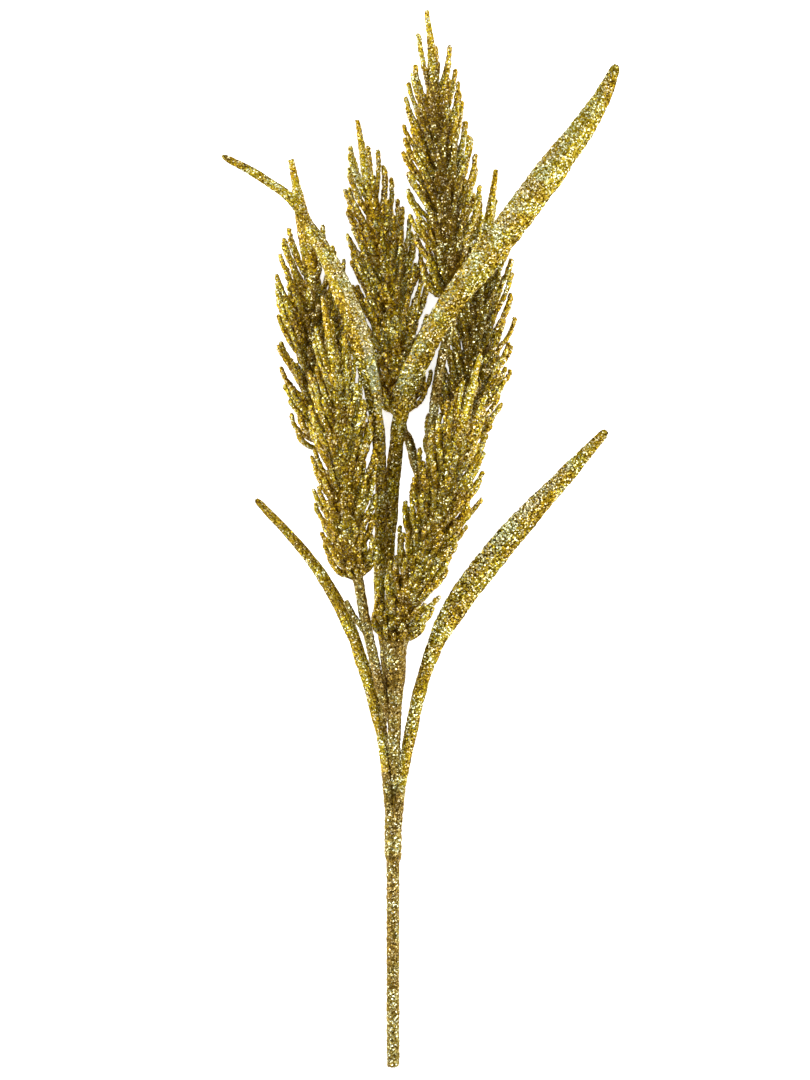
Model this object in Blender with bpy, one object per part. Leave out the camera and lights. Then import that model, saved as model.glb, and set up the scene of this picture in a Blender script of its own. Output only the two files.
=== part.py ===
"""Artificial wheat spray in gold glitter, laid on its side: one branching stem, six bearded ears
and four strap leaves.

The guide points below are in millimetres in the spray's own frame: X to the right, Y from the cut
end of the stem towards the ears, Z up from the surface that the spray lies on. At the end an empty
carries all pieces so that the middle of the outline is over the world's origin.
"""

import math

import bpy
import numpy as np

MM = 0.001
FIT_GAP = 0.35
CLEARANCE = 0.3

# Stem, from the cut end: radii against the distance along it.
STEM_RADIUS = 2.35
STEM_SIDES = 12
STEM_FOOT = (0.0, 0.0, 2.4)
STEM_HEAD = (0.4, 154.8, 18.0)
JOINT_RADIUS = 3.2
HEAD_RADIUS = 3.4
STEM_PROFILE = ((0.0, 1.9), (0.7, STEM_RADIUS), (74.0, STEM_RADIUS), (78.0, JOINT_RADIUS),
                (90.0, JOINT_RADIUS), (98.0, STEM_RADIUS), (130.0, STEM_RADIUS), (143.0, 2.9),
                (155.6, HEAD_RADIUS))

# Stalks that leave the stem's head, up to the foot of each ear.
STALK_RADIUS = 1.6
STALK_SIDES = 6
STALK_SPACING = 10.0
EAR_STALKS = {
    "ear_top": ((1.0, 135, 15.0), (3.0, 151, 12.5), (8.0, 168, 10.0), (11.0, 186, 12.5),
                (12.0, 204, 19.0), (13.5, 220, 25.0), (14.5, 236, 28.5), (17.5, 256, 31.5)),
    "ear_middle": ((0.8, 135, 14.5), (2.4, 152, 8.5), (5.0, 168, 5.0), (8.5, 190, 4.5),
                   (11.0, 207, 7.5), (7.0, 218, 10.0), (4.6, 227, 11.2)),
    "ear_left_back": ((-1.5, 131, 14.5), (-5.0, 140, 12.5), (-8.5, 155, 10.5), (-11.0, 168, 9.0),
                      (-14.5, 190, 9.0), (-18.5, 208, 11.5)),
    "ear_left_front": ((-1.0, 127, 15.0), (-2.9, 132, 16.0), (-5.0, 139, 18.0), (-6.8, 148, 20.0),
                       (-8.5, 155, 22.0), (-10.1, 162, 24.0)),
    "ear_right_back": ((1.0, 135, 14.5), (3.0, 151, 8.0), (8.0, 167, 4.5), (13.0, 188, 5.0),
                       (15.0, 203, 9.5)),
}
SIDE_STUB = ((-8.6, 155.5, 22.2), (-11.5, 160, 23.0), (-14.2, 164.5, 24.0), (-16.6, 169.5, 24.8))
SIDE_STUB_RADIUS = 1.15

# Ears: the line of each core from its foot to the tip of its spike, and how wide it is of the fullest.
EARS = {
    "ear_right_front": {
        "axis": ((0.5, 155.4, 18.1), (1.2, 159, 18.8), (3.6, 165, 20.4), (6.5, 172, 22.5),
                 (11.9, 187, 27.0), (15.1, 197, 30.5), (18.4, 207, 33.5), (21.6, 220, 36.3),
                 (24.5, 232, 37.6), (31.3, 257, 38.0)),
        "fullness": 0.93,
    },
    "ear_left_front": {
        "axis": ((-12.9, 177.5, 28.5), (-15.8, 191, 32.0), (-17.4, 212, 35.0),
                 (-19.0, 233, 36.0), (-21.0, 252, 36.0), (-25.2, 278, 35.0)),
        "fullness": 0.89,
    },
    "ear_top": {
        "axis": ((21.2, 275.4, 33.0), (19.8, 293, 30.0), (18.7, 308, 26.5), (17.6, 322, 23.0),
                 (16.2, 337, 19.5), (14.8, 353, 16.0), (12.2, 381, 11.5)),
        "fullness": 0.88,
    },
    "ear_middle": {
        "axis": ((1.1, 237.2, 11.0), (0.4, 263, 11.0), (-0.4, 276, 11.0), (-4.3, 299, 11.0),
                 (-7.6, 313, 10.8), (-13.0, 342, 9.0)),
        "fullness": 0.86,
    },
    "ear_left_back": {
        "axis": ((-22.7, 220.7, 12.3), (-23.8, 229, 12.3), (-27.0, 252, 12.3), (-28.2, 270, 12.3),
                 (-29.5, 286, 12.3), (-32.0, 301, 12.0), (-36.7, 328, 10.0)),
        "fullness": 0.96,
    },
    "ear_right_back": {
        "axis": ((16.9, 214.2, 12.6), (22.0, 227, 12.6), (25.9, 239, 12.6), (30.0, 262, 12.6),
                 (31.5, 283, 12.4), (33.2, 302, 12.0), (36.0, 323.3, 10.0)),
        "fullness": 1.0,
    },
}
LOW_EARS = ("ear_middle", "ear_left_back", "ear_right_back")

# Core radius, awn reach and awn rise against the share of the ear's length.
CORE_PROFILE = ((0.0, 2.4), (0.04, 3.2), (0.12, 4.2), (0.5, 4.2), (0.75, 3.0), (0.88, 1.7),
                (0.93, 0.9))
CORE_SIDES = 6
CORE_STATIONS = 8
WHORLS = 12
FIRST_WHORL = 0.02
LAST_WHORL = 0.74
AWNS_PER_WHORL = 7
AWN_SIDES = 3
AWN_RADIUS = 0.85
AWN_TIP_RADIUS = 0.6
AWN_STEPS = (0.08, 0.48, 1.0)
AWN_CURL = 1.9
CUP_CURL = 3.2
CUP_WHORLS = 2
REACH_AT_TIP = ((0.05, 7.0), (0.12, 9.6), (0.2, 12.0), (0.3, 13.3), (0.6, 13.2), (0.75, 10.5),
                (0.85, 7.6), (0.92, 5.0), (1.0, 2.5))
RISE_AT_ROOT = ((0.0, 9.0), (0.06, 13.0), (0.15, 17.0), (0.6, 18.0), (1.0, 18.0))
ANGLE_JITTER = math.radians(7)
LENGTH_JITTER = 0.12
SPIKE_PLACES = (0.8, 0.93, 1.0)
REACH_TRIALS = (1.0, 0.92, 0.84, 0.76, 0.68, 0.6, 0.52, 0.44)
SWING_TRIALS = tuple(math.radians(a) for a in (0, 9, -9, 18, -18))
FLOOR_HEIGHT = -0.25

# Leaves: the midrib's line from the nib that carries it, and the width against the share of it.
PETIOLE_WIDTH = 3.2
FLAT_BLADE_WIDTH = 6.2
BLADE_THICKNESS = 0.9
EDGE_THICKNESS = 0.65
PETIOLE_THICKNESS = 2.4
TIP_START = 0.8
LEAF_STATIONS = 18
LEAVES = {
    "leaf_top_right": {
        "guides": ((-1.2, 151.0, 10.6), (-1.1, 167, 10.3), (-1.0, 184, 12.5), (0.4, 209, 22.0),
                   (2.2, 225, 28.0), (3.2, 237, 32.5), (5.4, 248, 37.5), (9.7, 257, 41.0),
                   (16.2, 269, 44.5), (23.0, 280, 46.5), (33.1, 292, 47.5), (42.5, 305, 47.5),
                   (51.7, 317, 46.0), (59.6, 328, 44.0), (67.1, 338, 41.5), (79.6, 360.7, 35.0)),
        "widths": ((0.0, 3.0), (0.25, 3.2), (0.33, 4.6), (0.38, 6.0), (0.44, 7.7), (0.54, 7.8),
                   (0.6, 8.4), (0.66, 9.5), (0.78, 10.4), (0.88, 9.0), (0.95, 6.0), (1.0, 2.2)),
        "roll": -12.0,
    },
    "leaf_top_left": {
        "guides": ((-3.3, 151.0, 13.2), (-4.2, 166, 13.5), (-4.4, 184, 16.0), (-4.2, 203, 22.0),
                   (-4.7, 223, 30.0), (-6.5, 238, 36.5), (-9.0, 250, 41.0), (-12.2, 263, 43.5),
                   (-17.3, 277, 43.5), (-22.3, 289, 40.5), (-27.7, 299.5, 37.0), (-31.3, 306, 34.5),
                   (-34.6, 312.5, 32.0), (-43.6, 319, 28.5), (-49.3, 322.6, 27.0),
                   (-60.8, 328.3, 24.0)),
        "widths": ((0.0, 2.6), (0.35, 3.2), (0.42, 4.4), (0.5, 7.2), (0.58, 8.6), (0.66, 7.8),
                   (0.74, 6.0), (0.81, 4.2), (0.9, 3.1), (0.96, 2.9), (1.0, 1.8)),
        "roll": 20.0,
    },
    "leaf_low_right": {
        "guides": ((4.1, 102.0, 14.5), (4.9, 110, 13.0), (6.3, 121, 11.5), (9.0, 135, 9.5),
                   (13.3, 149, 8.5), (20.5, 164, 8.0), (30.4, 178, 8.0), (42.3, 193, 8.0),
                   (55.1, 207, 7.5), (68.6, 221.4, 5.5), (77.0, 229.7, 4.0)),
        "widths": ((0.0, 3.4), (0.14, 3.9), (0.26, 3.8), (0.33, 4.6), (0.4, 6.3), (0.48, 8.0),
                   (0.65, 8.5), (0.78, 7.0), (0.87, 5.0), (0.95, 3.2), (1.0, 2.0)),
        "roll": -10.0,
    },
    "leaf_low_left": {
        "guides": ((-3.6, 107.0, 15.2), (-4.5, 119, 13.0), (-7.4, 133, 10.5), (-9.0, 140.4, 9.5),
                   (-11.5, 147.6, 8.8), (-14.0, 155, 8.2), (-20.5, 169, 7.5), (-29.9, 184, 6.5),
                   (-35.8, 191, 6.0), (-49.3, 205.2, 4.0)),
        "widths": ((0.0, 2.6), (0.2, 3.6), (0.3, 4.3), (0.55, 4.4), (0.68, 3.6), (0.8, 2.8),
                   (0.93, 2.3), (1.0, 1.6)),
        "roll": 12.0,
    },
}
LEAF_FOLD = math.radians(17)
LEAF_OBSTACLE_LINES = (-0.6, 0.0, 0.6)
LEAF_NIBS = {
    "leaf_top_right": ((-0.5, 133, 14.5), (-1.0, 142, 12.2)),
    "leaf_top_left": ((-1.0, 133, 15.6), (-2.6, 142, 13.6)),
    "leaf_low_right": ((1.0, 84, 10.6), (2.9, 93, 13.0)),
    "leaf_low_left": ((-1.0, 86, 11.0), (-2.7, 97, 14.0)),
}

GOLD_EARS = ("gold_glitter_ears", (0.38, 0.25, 0.05), 0.38)
GOLD_LEAVES = ("gold_glitter_leaves", (0.50, 0.38, 0.11), 0.34)
GOLD_STEM = ("gold_glitter_stem", (0.42, 0.30, 0.09), 0.36)


def profile_at(profile, place):
    """Straight-line value of a profile of (place, value) pairs."""
    places, values = zip(*profile)
    return float(np.interp(place, places, values))


class Path:
    """A smooth curve through guide points, measured by its length in millimetres."""

    STEPS_PER_SPAN = 10

    def __init__(self, guides):
        guides = np.array(guides, dtype=float)
        spans = np.linalg.norm(np.diff(guides, axis=0), axis=1)
        slopes = np.gradient(guides, np.concatenate(([0.0], np.cumsum(spans))), axis=0)
        steps = np.linspace(0.0, 1.0, self.STEPS_PER_SPAN, endpoint=False)
        dense = []
        for first, span in enumerate(spans):
            ends = guides[first:first + 2]
            pulls = slopes[first:first + 2] * span
            dense += [self.hermite(ends, pulls, step) for step in steps]
        dense.append(guides[-1])
        self.points = np.array(dense)
        hops = np.linalg.norm(np.diff(self.points, axis=0), axis=1)
        self.reached = np.concatenate(([0.0], np.cumsum(hops)))
        self.length = float(self.reached[-1])

    @staticmethod
    def hermite(ends, pulls, step):
        """Point of the cubic between two ends that leaves and reaches them with the pulls given."""
        square = step * step
        cube = square * step
        return ((2 * cube - 3 * square + 1) * ends[0] + (cube - 2 * square + step) * pulls[0]
                + (3 * square - 2 * cube) * ends[1] + (cube - square) * pulls[1])

    def at(self, distance):
        """Point at a distance along the curve; past either end it goes straight on."""
        inside = min(max(distance, 0.0), self.length)
        point = np.array([np.interp(inside, self.reached, self.points[:, i]) for i in range(3)])
        if distance == inside:
            return point
        return point + self.tangent(inside) * (distance - inside)

    def tangent(self, distance):
        """Unit direction at a distance along the curve."""
        span = 0.02 * self.length
        low = max(distance - span, 0.0)
        high = min(distance + span, self.length)
        ends = [np.array([np.interp(d, self.reached, self.points[:, i]) for i in range(3)])
                for d in (low, high)]
        return unit(ends[1] - ends[0])

    def frame(self, distance, roll=0.0):
        """Point, side and top directions square to the curve, turned about it by roll."""
        ahead = self.tangent(distance)
        side = unit(np.cross(ahead, (0.0, 0.0, 1.0)))
        top = np.cross(side, ahead)
        turned_side = side * math.cos(roll) + top * math.sin(roll)
        turned_top = top * math.cos(roll) - side * math.sin(roll)
        return self.at(distance), turned_side, turned_top


def unit(vector):
    """The vector at length one."""
    return vector / np.linalg.norm(vector)


def round_ring(centre, side, top, radius, sides):
    """Ring of points about a centre, counted from the side towards the top."""
    turns = np.arange(sides) * 2 * math.pi / sides
    return [centre + radius * (math.cos(a) * side + math.sin(a) * top) for a in turns]


def loft(name, rings):
    """Closed solid through a row of rings with equally many points, split into triangles alike."""
    sides = len(rings[0])
    points = [tuple(p * MM) for one_ring in rings for p in one_ring]
    faces = [tuple(range(sides))]
    for row in range(len(rings) - 1):
        for column in range(sides):
            near = row * sides + column
            beside = row * sides + (column + 1) % sides
            faces.append((near, near + sides, beside + sides))
            faces.append((near, beside + sides, beside))
    last = (len(rings) - 1) * sides
    faces.append(tuple(reversed(range(last, last + sides))))
    mesh = bpy.data.meshes.new(name)
    mesh.from_pydata(points, [], faces)
    mesh.update()
    solid = bpy.data.objects.new(name, mesh)
    bpy.context.scene.collection.objects.link(solid)
    return solid


def tube(name, path, radius_at, places, sides):
    """Round tube along a path, with rings at the places given as distances."""
    rings = []
    for place in places:
        centre, side, top = path.frame(place)
        rings.append(round_ring(centre, side, top, radius_at(place), sides))
    return loft(name, rings)


def fuse(body, parts):
    """Join the parts to the body in one solid."""
    group = bpy.data.collections.new(body.name + "_parts")
    bpy.context.scene.collection.children.link(group)
    for part in parts:
        bpy.context.scene.collection.objects.unlink(part)
        group.objects.link(part)
    union = body.modifiers.new("union", "BOOLEAN")
    union.operation = "UNION"
    union.solver = "MANIFOLD"
    union.operand_type = "COLLECTION"
    union.collection = group
    apply_modifiers(body)
    for part in parts:
        bpy.data.objects.remove(part)
    bpy.data.collections.remove(group)


def press_flat(body):
    """Cut off what would go below the surface, which leaves small flats where the awns rest."""
    low = [min(v.co[i] for v in body.data.vertices) - MM for i in range(3)]
    high = [max(v.co[i] for v in body.data.vertices) + MM for i in range(3)]
    bpy.ops.mesh.primitive_cube_add(size=1.0)
    slab = bpy.context.object
    slab.scale = (high[0] - low[0], high[1] - low[1], -2 * low[2])
    slab.location = ((low[0] + high[0]) / 2, (low[1] + high[1]) / 2, low[2])
    cut = body.modifiers.new("surface", "BOOLEAN")
    cut.operation = "DIFFERENCE"
    cut.solver = "MANIFOLD"
    cut.object = slab
    apply_modifiers(body)
    bpy.data.objects.remove(slab)


def apply_modifiers(body):
    """Give the body the mesh that its modifiers make."""
    bpy.context.view_layer.update()
    evaluated = body.evaluated_get(bpy.context.evaluated_depsgraph_get())
    mesh = bpy.data.meshes.new_from_object(evaluated)
    body.modifiers.clear()
    body.data = mesh


def gold(finish):
    """Principled material of glitter flakes over plastic, from its name, colour and roughness."""
    name, colour, roughness = finish
    material = bpy.data.materials.get(name)
    if material is None:
        material = bpy.data.materials.new(name)
        material.use_nodes = True
        shader = material.node_tree.nodes["Principled BSDF"]
        shader.inputs["Base Color"].default_value = (*colour, 1.0)
        shader.inputs["Metallic"].default_value = 0.9
        shader.inputs["Roughness"].default_value = roughness
    return material


def dress(body, finish):
    """Put one material on the whole body."""
    body.data.materials.clear()
    body.data.materials.append(gold(finish))


class Obstacles:
    """Everything that an awn has to stay clear of, as a set of round-ended rods."""

    def __init__(self):
        self.starts = np.zeros((0, 3))
        self.ends = np.zeros((0, 3))
        self.radii = np.zeros(0)

    def add(self, points, radii):
        """Add a chain of rods through the points, each as thick as its thicker end."""
        points = np.array(points)
        radii = np.array(radii)
        self.starts = np.vstack((self.starts, points[:-1]))
        self.ends = np.vstack((self.ends, points[1:]))
        self.radii = np.concatenate((self.radii, np.maximum(radii[:-1], radii[1:])))

    def gap(self, point):
        """Distance from a point to the nearest rod's surface."""
        along = self.ends - self.starts
        reach = np.einsum("ij,ij->i", point - self.starts, along)
        share = np.clip(reach / np.einsum("ij,ij->i", along, along), 0.0, 1.0)
        nearest = self.starts + along * share[:, None]
        return float((np.linalg.norm(point - nearest, axis=1) - self.radii).min())


def make_stem(ear_paths, leaf_paths, obstacles):
    """The branching stem: trunk, one stalk to each ear but the front one, leaf nibs and side stub."""
    trunk = Path((STEM_FOOT, (0.0, STEM_HEAD[1] / 2, (STEM_FOOT[2] + STEM_HEAD[2]) / 2), STEM_HEAD))
    places = [place for place, _ in STEM_PROFILE[:-1]] + [trunk.length]
    stem = tube("stem", trunk, lambda d: profile_at(STEM_PROFILE, d), places, STEM_SIDES)
    obstacles.add([trunk.at(d) for d in places], [profile_at(STEM_PROFILE, d) for d in places])
    branches = []
    for name, guides in EAR_STALKS.items():
        ear = ear_paths[name]
        end = ear.at(0.0) - FIT_GAP * ear.tangent(0.0)
        before = end - 3.0 * ear.tangent(0.0)
        branches.append(make_branch(name + "_stalk", (*guides, before, end), STALK_RADIUS, obstacles))
    for name, guides in LEAF_NIBS.items():
        leaf = leaf_paths[name]
        end = leaf.at(0.0) - FIT_GAP * leaf.tangent(0.0)
        before = end - 2.0 * leaf.tangent(0.0)
        radius = LEAVES[name]["widths"][0][1] / 2
        branches.append(make_branch(name + "_nib", (*guides, before, end), radius, obstacles))
    branches.append(make_branch("side_stub", SIDE_STUB, SIDE_STUB_RADIUS, obstacles))
    fuse(stem, branches)
    dress(stem, GOLD_STEM)
    return stem


def make_branch(name, guides, radius, obstacles):
    """Round branch through its guide points."""
    path = Path(guides)
    count = max(3, round(path.length / STALK_SPACING))
    places = np.linspace(0.0, path.length, count + 1)
    obstacles.add([path.at(d) for d in places], [radius] * len(places))
    return tube(name, path, lambda d: radius, places, STALK_SIDES)


def make_leaf(name, path, obstacles):
    """Strap leaf folded along its midrib, running down into a thick petiole."""
    shape = LEAVES[name]
    rings = []
    places = np.linspace(0.0, 1.0, LEAF_STATIONS)
    for place in places:
        width = profile_at(shape["widths"], place)
        flatness = float(np.interp(width, (PETIOLE_WIDTH, FLAT_BLADE_WIDTH), (0.0, 1.0)))
        stoutness = 0.0 if place > TIP_START else 1.0 - flatness
        middle = BLADE_THICKNESS + (PETIOLE_THICKNESS - BLADE_THICKNESS) * stoutness
        edge = EDGE_THICKNESS + (PETIOLE_THICKNESS / 2 - EDGE_THICKNESS) * stoutness
        fold = LEAF_FOLD * flatness
        roll = math.radians(shape["roll"]) * flatness
        centre, side, top = path.frame(place * path.length, roll)
        wing = width / 2 * math.cos(fold) * side
        edge_line = centre - width / 2 * math.sin(fold) * top
        rings.append([edge_line + wing + edge / 2 * top, centre + middle / 2 * top,
                      edge_line - wing + edge / 2 * top, edge_line - wing - edge / 2 * top,
                      centre - middle / 2 * top, edge_line + wing - edge / 2 * top])
    leaf = loft(name, rings)
    for share in LEAF_OBSTACLE_LINES:
        line = [(ring[1] + ring[4] + share * (ring[0] - ring[2])) / 2 for ring in rings]
        widths = [np.linalg.norm(ring[0] - ring[2]) / 5 + EDGE_THICKNESS for ring in rings]
        obstacles.add(line, widths)
    dress(leaf, GOLD_LEAVES)
    return leaf


def awn_line(axis, root, angle, reach, rise, curl):
    """Points of one awn, which leaves the axis sideways and turns to run along it."""
    _, side, top = axis.frame(root)
    out = math.cos(angle) * side + math.sin(angle) * top
    return [axis.at(root + rise * s) + out * reach * (1.0 - (1.0 - s) ** curl) for s in AWN_STEPS]


def fits(line, obstacles):
    """True where an awn's outer half is clear of the obstacles and of the surface."""
    probes = [line[1] * (1 - s) + line[2] * s for s in (0.0, 0.33, 0.67, 1.0)]
    if min(p[2] for p in probes) < FLOOR_HEIGHT:
        return False
    return all(obstacles.gap(p) > AWN_RADIUS + CLEARANCE for p in probes)


def place_awn(axis, root, angle, reach, rise, curl, obstacles):
    """The awn as it wants to stand, or bent in or aside just enough to be clear."""
    for share in REACH_TRIALS:
        for swing in SWING_TRIALS:
            line = awn_line(axis, root, angle + swing, reach * share, rise, curl)
            if fits(line, obstacles):
                return line
    return None


def awn_solid(name, line):
    """Three-sided needle through the awn's points, blunt at its tip."""
    rings = []
    for index, centre in enumerate(line):
        before = line[max(index - 1, 0)]
        after = line[min(index + 1, len(line) - 1)]
        ahead = unit(after - before)
        side = unit(np.cross(ahead, (0.3, 0.2, 1.0)))
        radius = AWN_TIP_RADIUS if index == len(line) - 1 else AWN_RADIUS
        rings.append(round_ring(centre, side, np.cross(side, ahead), radius, AWN_SIDES))
    return loft(name, rings)


def make_ear(name, axis, obstacles, draw):
    """One bearded ear: a slim core with whorls of awns and a spike at its tip."""
    places = np.linspace(0.0, CORE_PROFILE[-1][0], CORE_STATIONS) * axis.length
    core = tube(name, axis, lambda d: profile_at(CORE_PROFILE, d / axis.length), places, CORE_SIDES)
    parts = []
    taken = []
    for whorl, start in enumerate(np.linspace(FIRST_WHORL, LAST_WHORL, WHORLS)):
        root = start * axis.length
        curl = CUP_CURL if whorl < CUP_WHORLS else AWN_CURL
        for number in range(AWNS_PER_WHORL):
            turn = (number + 0.5 * (whorl % 2)) / AWNS_PER_WHORL
            angle = 2 * math.pi * turn + draw.uniform(-ANGLE_JITTER, ANGLE_JITTER)
            length = 1.0 + draw.uniform(-LENGTH_JITTER, LENGTH_JITTER)
            rise = profile_at(RISE_AT_ROOT, start) * length
            reach = profile_at(REACH_AT_TIP, start + rise / axis.length) * EARS[name]["fullness"]
            line = place_awn(axis, root, angle, reach, rise, curl, obstacles)
            if line is not None:
                parts.append(awn_solid("awn", line))
                taken.append(line)
    spike = [axis.at(share * axis.length) for share in SPIKE_PLACES]
    parts.append(awn_solid("spike", spike))
    taken.append(spike)
    fuse(core, parts)
    if name in LOW_EARS:
        press_flat(core)
    dress(core, GOLD_EARS)
    for line in taken:
        obstacles.add(line, [AWN_RADIUS] * len(line))
    obstacles.add([axis.at(d) for d in places], [CORE_PROFILE[1][1]] * len(places))
    return core


def centre_on_origin(pieces):
    """Carry all pieces by an empty so that their box stands centred on the world's origin."""
    low = np.min([v.co for piece in pieces for v in piece.data.vertices], axis=0)
    high = np.max([v.co for piece in pieces for v in piece.data.vertices], axis=0)
    carrier = bpy.data.objects.new("spray", None)
    bpy.context.scene.collection.objects.link(carrier)
    carrier.location = (-(low[0] + high[0]) / 2, -(low[1] + high[1]) / 2, -low[2])
    for piece in pieces:
        piece.parent = carrier


def main():
    """Build the spray: stem and leaves first, then the ears, which bend clear of them."""
    for old in list(bpy.data.objects):
        bpy.data.objects.remove(old)
    draw = np.random.default_rng(5)
    ear_paths = {name: Path(shape["axis"]) for name, shape in EARS.items()}
    leaf_paths = {name: Path(shape["guides"]) for name, shape in LEAVES.items()}
    obstacles = Obstacles()
    pieces = [make_stem(ear_paths, leaf_paths, obstacles)]
    pieces += [make_leaf(name, path, obstacles) for name, path in leaf_paths.items()]
    pieces += [make_ear(name, path, obstacles, draw) for name, path in ear_paths.items()]
    centre_on_origin(pieces)


main()
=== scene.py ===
"""Looks of an artificial wheat spray in gold glitter, laid on its side and seen from above.

Lengths in the classes below are in millimetres in the spray's own frame: X to the right, Y from the
cut end of the stem towards the ears, Z up from the surface that the spray lies on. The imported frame
gives where the cut end is in the world, and every mesh is carried there when it is made.
"""

import logging
import math
from dataclasses import dataclass, replace
from enum import Enum

import bpy
import numpy as np
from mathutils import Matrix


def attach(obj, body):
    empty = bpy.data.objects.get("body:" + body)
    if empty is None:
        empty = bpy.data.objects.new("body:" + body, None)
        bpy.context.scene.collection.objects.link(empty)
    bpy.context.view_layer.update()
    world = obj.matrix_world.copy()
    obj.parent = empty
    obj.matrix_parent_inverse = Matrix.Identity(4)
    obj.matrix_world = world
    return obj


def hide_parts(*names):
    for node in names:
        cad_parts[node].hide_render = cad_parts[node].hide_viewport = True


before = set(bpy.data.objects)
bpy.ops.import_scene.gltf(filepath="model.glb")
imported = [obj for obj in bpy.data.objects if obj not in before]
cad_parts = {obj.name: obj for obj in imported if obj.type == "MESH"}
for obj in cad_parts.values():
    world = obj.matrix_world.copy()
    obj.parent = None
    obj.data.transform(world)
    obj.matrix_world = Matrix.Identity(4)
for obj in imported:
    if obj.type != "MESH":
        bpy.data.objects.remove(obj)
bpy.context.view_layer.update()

logging.basicConfig(level=logging.INFO, format="%(message)s")
LOG = logging.getLogger("spray")

MM = 0.001
BODY = "root"
# Height of the stem's middle over the surface at its cut end, in millimetres.
FOOT_HEIGHT = 2.4
# Names of the mesh attributes that the glitter reads.
SILVER_SHARE = "silver_share"
# How deep a point lies between the awns. The glitter turns this into painted shade: darker flakes and wider
# dark glue gaps there.
PAINTED_SHADE = "painted_shade"
# How far a flake's corner slides along the surface, as a share of the flake.
FLAKE_SLIDE = 0.3
# Roughness of the crust in millimetres, and the first seed of the draws, for each kind of piece.
STEM_BUMP, LEAF_BUMP, EAR_BUMP = 0.2, 0.12, 0.18
STEM_SEED, LEAF_SEED, EAR_SEED = 11, 20, 30

Profile = tuple[tuple[float, float], ...]
Guides = tuple[tuple[float, float, float], ...]
Tones = tuple[tuple[float, str], ...]
Tree = bpy.types.NodeTree
Socket = bpy.types.NodeSocket


def linear(hex_colour: str) -> tuple[float, float, float, float]:
    """Turn an sRGB colour, as six hex digits after a hash sign, into linear RGBA."""
    channels = [int(hex_colour[i:i + 2], 16) / 255 for i in (1, 3, 5)]
    red, green, blue = [c / 12.92 if c <= 0.04045 else ((c + 0.055) / 1.055) ** 2.4 for c in channels]
    return red, green, blue, 1.0


def add_node(tree: Tree, kind: str, inputs: dict, **settings: object) -> bpy.types.Node:
    """Add one shader node.

    Args:
        tree: the node tree that gets the node.
        kind: the node's type, without the "ShaderNode" that it starts with.
        inputs: a constant, or the output socket that feeds it, for each input socket.
        settings: the node's own properties.

    Returns:
        The new node.
    """
    node = tree.nodes.new("ShaderNode" + kind)
    for name, value in settings.items():
        setattr(node, name, value)
    for socket, value in inputs.items():
        if isinstance(value, Socket):
            tree.links.new(value, node.inputs[socket])
        else:
            node.inputs[socket].default_value = value
    return node


def profile_at(profile: Profile, places: np.ndarray | float) -> np.ndarray:
    """Straight-line values of a profile of (place, value) pairs at the places."""
    known, values = zip(*profile)
    return np.interp(places, known, values)


def unit(vectors: np.ndarray) -> np.ndarray:
    """The vectors at length one."""
    return vectors / np.linalg.norm(vectors, axis=-1, keepdims=True)


class Route:
    """A smooth curve through guide points, measured by its length."""

    STEPS_PER_SPAN = 10
    TANGENT_SHARE = 0.02

    def __init__(self, guides: Guides) -> None:
        """Lay the curve through the guide points."""
        knots = np.array(guides, dtype=float)
        spans = np.linalg.norm(np.diff(knots, axis=0), axis=1)
        slopes = np.gradient(knots, np.concatenate(([0.0], np.cumsum(spans))), axis=0)
        step = np.linspace(0.0, 1.0, self.STEPS_PER_SPAN, endpoint=False)[:, None]
        square, cube = step ** 2, step ** 3
        dense = []
        for first, span in enumerate(spans):
            pulls = slopes[first:first + 2] * span
            dense.append((2 * cube - 3 * square + 1) * knots[first] + (cube - 2 * square + step) * pulls[0]
                         + (3 * square - 2 * cube) * knots[first + 1] + (cube - square) * pulls[1])
        self.points = np.vstack((*dense, knots[-1:]))
        hops = np.linalg.norm(np.diff(self.points, axis=0), axis=1)
        self.reached = np.concatenate(([0.0], np.cumsum(hops)))
        self.length = float(self.reached[-1])

    def on_curve(self, distances: np.ndarray) -> np.ndarray:
        """Points at distances that lie within the curve."""
        return np.stack([np.interp(distances, self.reached, self.points[:, i]) for i in range(3)], axis=-1)

    def tangents(self, distances: np.ndarray) -> np.ndarray:
        """Unit directions at distances along the curve."""
        reach = self.TANGENT_SHARE * self.length
        low = np.clip(distances - reach, 0.0, self.length)
        high = np.clip(distances + reach, 0.0, self.length)
        return unit(self.on_curve(high) - self.on_curve(low))

    def at(self, distances: np.ndarray) -> np.ndarray:
        """Points at distances along the curve; past either end it goes straight on."""
        inside = np.clip(distances, 0.0, self.length)
        return self.on_curve(inside) + self.tangents(inside) * (distances - inside)[..., None]

    def frames(self, distances: np.ndarray, rolls: np.ndarray | float = 0.0) -> tuple[np.ndarray, ...]:
        """Points on the curve, with the side and top directions there turned by rolls in radians."""
        ahead = self.tangents(distances)
        side = unit(np.cross(ahead, (0.0, 0.0, 1.0)))
        top = np.cross(side, ahead)
        turns = np.broadcast_to(rolls, distances.shape)[:, None]
        cosine, sine = np.cos(turns), np.sin(turns)
        return self.at(distances), side * cosine + top * sine, top * cosine - side * sine


class Placing:
    """Carries points from the spray's frame in millimetres to the world in metres."""

    END_DEPTH = 0.5 * MM

    def __init__(self, stem: bpy.types.Object) -> None:
        """Find the middle of the stem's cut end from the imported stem."""
        points = np.array([v.co for v in stem.data.vertices])
        end = points[points[:, 1] < points[:, 1].min() + self.END_DEPTH]
        middle = (end.min(axis=0) + end.max(axis=0)) / 2
        self.origin = middle - np.array((0.0, 0.0, FOOT_HEIGHT * MM))

    def world(self, points: np.ndarray) -> np.ndarray:
        """World points, in metres, kept on or over the surface."""
        placed = points * MM + self.origin
        placed[..., 2] = np.maximum(placed[..., 2], 0.0)
        return placed


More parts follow.
